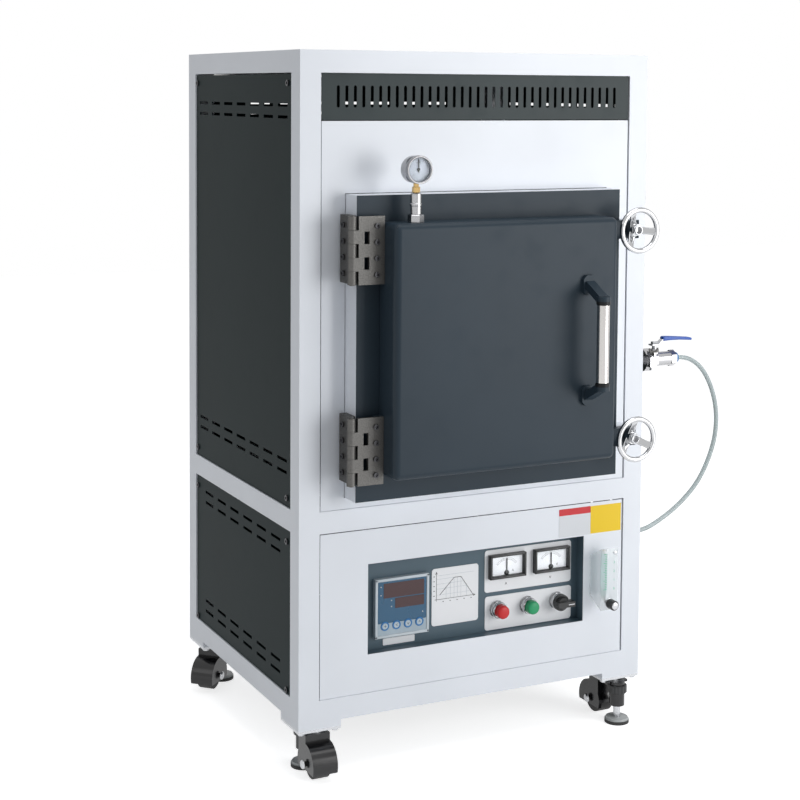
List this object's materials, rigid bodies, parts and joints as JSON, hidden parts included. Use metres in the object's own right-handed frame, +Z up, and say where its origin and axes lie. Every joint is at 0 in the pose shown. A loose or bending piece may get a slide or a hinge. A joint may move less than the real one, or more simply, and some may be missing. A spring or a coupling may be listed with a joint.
{
  "type": "vacuum furnace",
  "caption": "Front-loading chamber vacuum furnace in a square-tube cabinet, with a hinged door on two handwheel clamps, a recessed control panel, a ball valve and levelling casters.",
  "frame": {"origin": "Middle of the furnace's footprint, on the floor plane of its levelling pads; the free hose is left out of the measure.", "axes": "+Z up, front of the furnace towards -Y, +X to the right of someone facing it."},
  "size_m": [0.8601, 0.687, 1.144],
  "materials": {
    "frame_paint": "powder coat",
    "panel_paint": "powder coat",
    "tray_paint": "powder coat",
    "door_paint": "powder coat",
    "steel": "machined",
    "chrome": "plated",
    "plastic_black": "moulded",
    "plastic_white": "moulded",
    "plastic_blue": "moulded",
    "plastic_red": "moulded",
    "plastic_green": "moulded",
    "clear_acrylic": "clear",
    "hose_rubber": "extruded",
    "seal_rubber": "moulded",
    "fibre": "vacuum formed",
    "elements": "sintered",
    "hearth": "fired",
    "brass": "machined",
    "alloy": "cast",
    "iron": "varnished",
    "tyre_rubber": "moulded"
  },
  "bodies": {
    "cabinet": {"frame_posts": "frame_paint", "frame_rails": "frame_paint", "top_panel": "panel_paint", "rear_and_base_panels": "panel_paint", "side_panels": "panel_paint", "vent_grille": "panel_paint", "front_fascia": "frame_paint", "control_fascia": "frame_paint", "instrument_panel": "tray_paint", "controller_case": "plastic_black", "meter_cases": "plastic_black", "switch_bezels": "chrome", "flowmeter_block": "clear_acrylic", "chamber_shell": "frame_paint", "front_flange": "door_paint", "chamber_lining": "fibre", "heating_elements": "elements", "hearth_plate": "hearth", "door_seal": "seal_rubber", "hinge_frame_leaves": "alloy", "cabinet_ports": "steel", "port_clamp": "alloy", "ball_valve": "steel", "hose": "hose_rubber", "caster_plates": "steel", "power_transformer": "iron"},
    "door": {"door_shell": "door_paint", "door_plug": "fibre", "door_handle": "chrome", "hinge_door_leaves": "alloy", "vacuum_gauge": "steel"},
    "handwheel_upper": {"handwheel_upper": "chrome"},
    "clamp_stud_upper": {"clamp_stud_upper": "steel"},
    "handwheel_lower": {"handwheel_lower": "chrome"},
    "clamp_stud_lower": {"clamp_stud_lower": "steel"},
    "gauge_pointer": {"gauge_pointer": "plastic_red"},
    "controller_key_1": {"controller_key_1": "plastic_white"},
    "controller_key_2": {"controller_key_2": "plastic_white"},
    "controller_key_3": {"controller_key_3": "plastic_white"},
    "controller_key_4": {"controller_key_4": "plastic_white"},
    "stop_button": {"stop_button": "plastic_red"},
    "start_button": {"start_button": "plastic_green"},
    "selector_knob": {"selector_knob": "plastic_black"},
    "flowmeter_knob": {"flowmeter_knob": "plastic_black"},
    "flowmeter_float": {"flowmeter_float": "steel"},
    "ammeter_needle": {"ammeter_needle": "plastic_black"},
    "voltmeter_needle": {"voltmeter_needle": "plastic_black"},
    "valve_lever": {"valve_lever": "plastic_blue"},
    "caster_housing_front_left": {"caster_housing_front_left": "plastic_black"},
    "caster_wheel_front_left": {"caster_wheel_front_left": "tyre_rubber"},
    "levelling_pad_front_left": {"levelling_pad_front_left": "tyre_rubber"},
    "caster_housing_front_right": {"caster_housing_front_right": "plastic_black"},
    "caster_wheel_front_right": {"caster_wheel_front_right": "tyre_rubber"},
    "levelling_pad_front_right": {"levelling_pad_front_right": "tyre_rubber"},
    "caster_housing_rear_left": {"caster_housing_rear_left": "plastic_black"},
    "caster_wheel_rear_left": {"caster_wheel_rear_left": "tyre_rubber"},
    "levelling_pad_rear_left": {"levelling_pad_rear_left": "tyre_rubber"},
    "caster_housing_rear_right": {"caster_housing_rear_right": "plastic_black"},
    "caster_wheel_rear_right": {"caster_wheel_rear_right": "tyre_rubber"},
    "levelling_pad_rear_right": {"levelling_pad_rear_right": "tyre_rubber"}
  },
  "joints": [
    {"name": "door_hinge", "type": "hinge", "parent": "cabinet", "child": "door", "pos_m": [-0.31311, -0.24105, 0.684], "axis": [0, 0, -1], "range_deg": [0, 120]},
    {"name": "handwheel_upper_turn", "type": "hinge", "parent": "door", "child": "handwheel_upper", "pos_m": [0.18989, -0.25375, 0.85675], "axis": [0, 1, 0], "range_deg": [0, 1080]},
    {"name": "clamp_stud_upper_travel", "type": "slide", "parent": "door", "child": "clamp_stud_upper", "axis": [0, -1, 0], "range_m": [0, 0.012]},
    {"name": "handwheel_lower_turn", "type": "hinge", "parent": "door", "child": "handwheel_lower", "pos_m": [0.18989, -0.25375, 0.51125], "axis": [0, 1, 0], "range_deg": [0, 1080]},
    {"name": "clamp_stud_lower_travel", "type": "slide", "parent": "door", "child": "clamp_stud_lower", "axis": [0, -1, 0], "range_m": [0, 0.012]},
    {"name": "gauge_pointer_turn", "type": "hinge", "parent": "door", "child": "gauge_pointer", "pos_m": [-0.21511, -0.26045, 0.9625], "axis": [0, 1, 0], "range_deg": [0, 270], "stiffness_Nm_per_rad": 0.0001},
    {"name": "controller_key_1_press", "type": "slide", "parent": "cabinet", "child": "controller_key_1", "axis": [0, 1, 0], "range_m": [0, 0.0013], "stiffness_N_per_m": 400, "springref_m": -0.0005},
    {"name": "controller_key_2_press", "type": "slide", "parent": "cabinet", "child": "controller_key_2", "axis": [0, 1, 0], "range_m": [0, 0.0013], "stiffness_N_per_m": 400, "springref_m": -0.0005},
    {"name": "controller_key_3_press", "type": "slide", "parent": "cabinet", "child": "controller_key_3", "axis": [0, 1, 0], "range_m": [0, 0.0013], "stiffness_N_per_m": 400, "springref_m": -0.0005},
    {"name": "controller_key_4_press", "type": "slide", "parent": "cabinet", "child": "controller_key_4", "axis": [0, 1, 0], "range_m": [0, 0.0013], "stiffness_N_per_m": 400, "springref_m": -0.0005},
    {"name": "stop_button_press", "type": "slide", "parent": "cabinet", "child": "stop_button", "axis": [0, 1, 0], "range_m": [0, 0.004], "stiffness_N_per_m": 500, "springref_m": -0.002},
    {"name": "start_button_press", "type": "slide", "parent": "cabinet", "child": "start_button", "axis": [0, 1, 0], "range_m": [0, 0.004], "stiffness_N_per_m": 500, "springref_m": -0.002},
    {"name": "selector_turn", "type": "hinge", "parent": "cabinet", "child": "selector_knob", "pos_m": [0.10389, -0.19045, 0.2235], "axis": [0, 1, 0], "range_deg": [-45, 45]},
    {"name": "flowmeter_knob_turn", "type": "hinge", "parent": "cabinet", "child": "flowmeter_knob", "pos_m": [0.17289, -0.23045, 0.225], "axis": [0, 1, 0], "range_deg": [0, 720]},
    {"name": "flowmeter_float_rise", "type": "slide", "parent": "cabinet", "child": "flowmeter_float", "axis": [0, 0, 1], "range_m": [0, 0.052]},
    {"name": "ammeter_needle_turn", "type": "hinge", "parent": "cabinet", "child": "ammeter_needle", "pos_m": [0.00549, -0.17045, 0.2835], "axis": [0, 1, 0], "range_deg": [-40, 40], "stiffness_Nm_per_rad": 0.0001},
    {"name": "voltmeter_needle_turn", "type": "hinge", "parent": "cabinet", "child": "voltmeter_needle", "pos_m": [0.09129, -0.17045, 0.2835], "axis": [0, 1, 0], "range_deg": [-40, 40], "stiffness_Nm_per_rad": 0.0001},
    {"name": "valve_lever_turn", "type": "hinge", "parent": "cabinet", "child": "valve_lever", "pos_m": [0.32089, -0.13045, 0.6455], "axis": [0, 0, 1], "range_deg": [0, 90]},
    {"name": "caster_front_left_swivel", "type": "hinge", "parent": "cabinet", "child": "caster_housing_front_left", "pos_m": [-0.34161, -0.15395, 0.075], "axis": [0, 0, 1], "continuous": true},
    {"name": "caster_front_left_roll", "type": "hinge", "parent": "caster_housing_front_left", "child": "caster_wheel_front_left", "pos_m": [-0.34161, -0.18195, 0.0265], "axis": [1, 0, 0], "continuous": true},
    {"name": "levelling_pad_front_left_travel", "type": "slide", "parent": "caster_housing_front_left", "child": "levelling_pad_front_left", "axis": [0, 0, 1], "range_m": [-0.004, 0.01]},
    {"name": "caster_front_right_swivel", "type": "hinge", "parent": "cabinet", "child": "caster_housing_front_right", "pos_m": [0.21939, -0.15395, 0.075], "axis": [0, 0, 1], "continuous": true},
    {"name": "caster_front_right_roll", "type": "hinge", "parent": "caster_housing_front_right", "child": "caster_wheel_front_right", "pos_m": [0.21939, -0.12595, 0.0265], "axis": [-1, 0, 0], "continuous": true},
    {"name": "levelling_pad_front_right_travel", "type": "slide", "parent": "caster_housing_front_right", "child": "levelling_pad_front_right", "axis": [0, 0, 1], "range_m": [-0.004, 0.01]},
    {"name": "caster_rear_left_swivel", "type": "hinge", "parent": "cabinet", "child": "caster_housing_rear_left", "pos_m": [-0.34161, 0.28705, 0.075], "axis": [0, 0, 1], "continuous": true},
    {"name": "caster_rear_left_roll", "type": "hinge", "parent": "caster_housing_rear_left", "child": "caster_wheel_rear_left", "pos_m": [-0.36141, 0.26725, 0.0265], "axis": [0.7071, -0.7071, 0], "continuous": true},
    {"name": "levelling_pad_rear_left_travel", "type": "slide", "parent": "caster_housing_rear_left", "child": "levelling_pad_rear_left", "axis": [0, 0, 1], "range_m": [-0.004, 0.01]},
    {"name": "caster_rear_right_swivel", "type": "hinge", "parent": "cabinet", "child": "caster_housing_rear_right", "pos_m": [0.21939, 0.28705, 0.075], "axis": [0, 0, 1], "continuous": true},
    {"name": "caster_rear_right_roll", "type": "hinge", "parent": "caster_housing_rear_right", "child": "caster_wheel_rear_right", "pos_m": [0.24739, 0.28705, 0.0265], "axis": [0, 1, 0], "continuous": true},
    {"name": "levelling_pad_rear_right_travel", "type": "slide", "parent": "caster_housing_rear_right", "child": "levelling_pad_rear_right", "axis": [0, 0, 1], "range_m": [-0.004, 0.01]}
  ],
  "couplings": [
    {"joint": "clamp_stud_upper_travel", "follows": "handwheel_upper_turn", "m_per_rad": 0.00063662},
    {"joint": "clamp_stud_lower_travel", "follows": "handwheel_lower_turn", "m_per_rad": 0.00063662}
  ]
}
